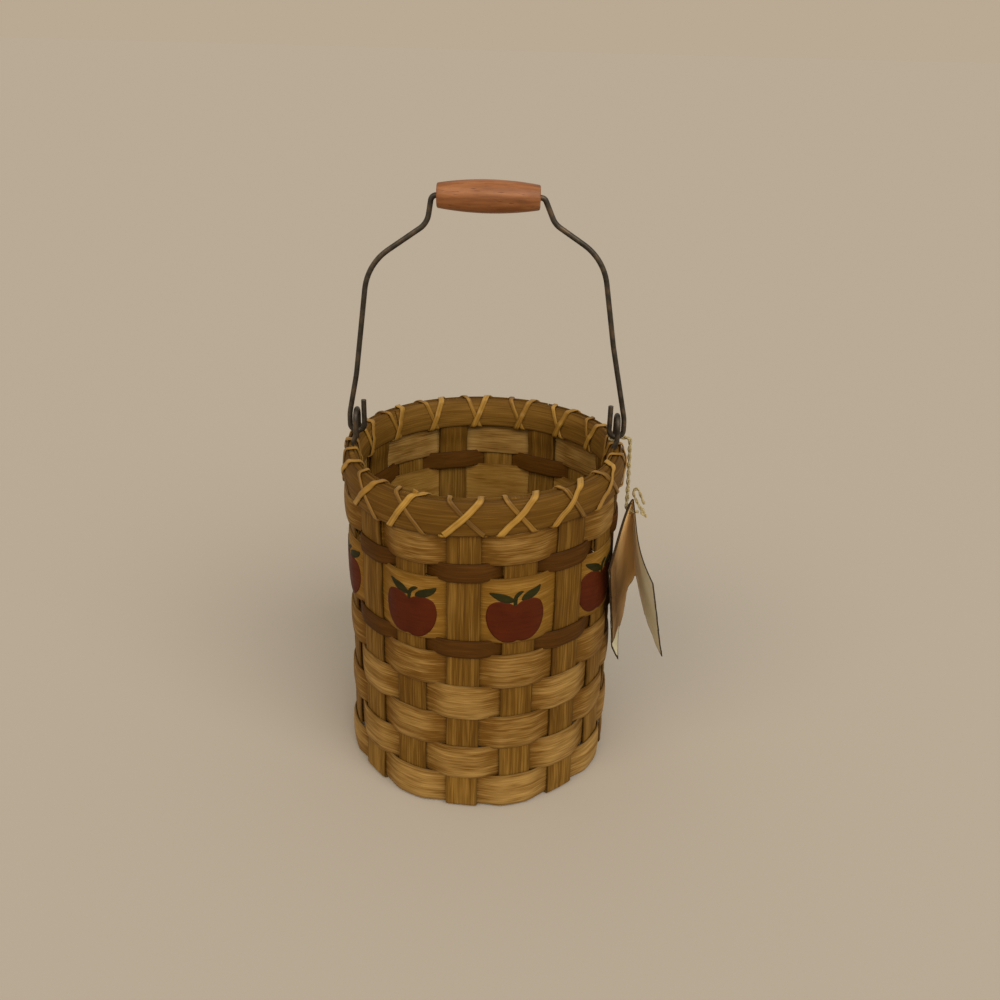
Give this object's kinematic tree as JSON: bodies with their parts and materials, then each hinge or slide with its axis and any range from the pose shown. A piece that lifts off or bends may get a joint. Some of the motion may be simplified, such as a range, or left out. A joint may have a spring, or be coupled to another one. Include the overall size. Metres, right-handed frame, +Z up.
{
  "type": "apple basket",
  "caption": "Round splint basket of woven flat reed with a painted apple row, dyed rows, a lashed rim, a swinging wire bail with a turned grip, and hang tags.",
  "frame": {"origin": "centre of the underside, on the surface the basket stands on", "axes": "+X along the bail's swing axis, to the right seen from the front; +Y to the back; +Z up"},
  "size_m": [0.1359, 0.1184, 0.2463],
  "materials": {
    "natural_reed": "satin stained reed",
    "painted_reed": "satin stained reed with painted apples",
    "dyed_reed": "satin dyed reed",
    "rim_reed": "satin stained reed",
    "cane": "glossy cane",
    "wire": "dark annealed wire",
    "grip_wood": "stained turned wood",
    "twine": "twisted jute twine",
    "kraft_paper": "matt kraft card",
    "white_paper": "matt white card"
  },
  "bodies": {
    "basket": {"stake_strip_1": "natural_reed", "stake_strip_2": "natural_reed", "stake_strip_3": "natural_reed", "stake_strip_4": "natural_reed", "stake_strip_5": "natural_reed", "stake_strip_6": "natural_reed", "stake_strip_7": "natural_reed", "stake_strip_8": "natural_reed", "row_01_natural": "natural_reed", "row_02_natural": "natural_reed", "row_03_natural": "natural_reed", "row_04_natural": "natural_reed", "row_05_natural": "natural_reed", "row_09_natural": "natural_reed", "row_06_dyed": "dyed_reed", "row_08_dyed": "dyed_reed", "row_07_apple_band": "painted_reed", "row_10_rim": "natural_reed", "rim_outer_band": "rim_reed", "rim_inner_band": "rim_reed", "lashing_rising": "cane", "lashing_falling": "cane", "ear_left": "wire", "ear_right": "wire", "string_hitch": "twine"},
    "handle": {"bail": "wire"},
    "grip": {"grip": "grip_wood"},
    "tags": {"tag_string": "twine", "string_knot": "twine", "kraft_tag": "kraft_paper", "white_card": "white_paper"}
  },
  "joints": [
    {"name": "bail_swing", "type": "hinge", "parent": "basket", "child": "handle", "pos_m": [0, 0, 0.146], "axis": [1, 0, 0], "range_deg": [-90, 90]},
    {"name": "grip_spin", "type": "hinge", "parent": "handle", "child": "grip", "pos_m": [0, 0, 0.2402], "axis": [1, 0, 0], "continuous": true},
    {"name": "tag_swing", "type": "hinge", "parent": "basket", "child": "tags", "pos_m": [0.06075, 0.0043, 0.141], "axis": [0, -1, 0], "range_deg": [0, 60]}
  ]
}
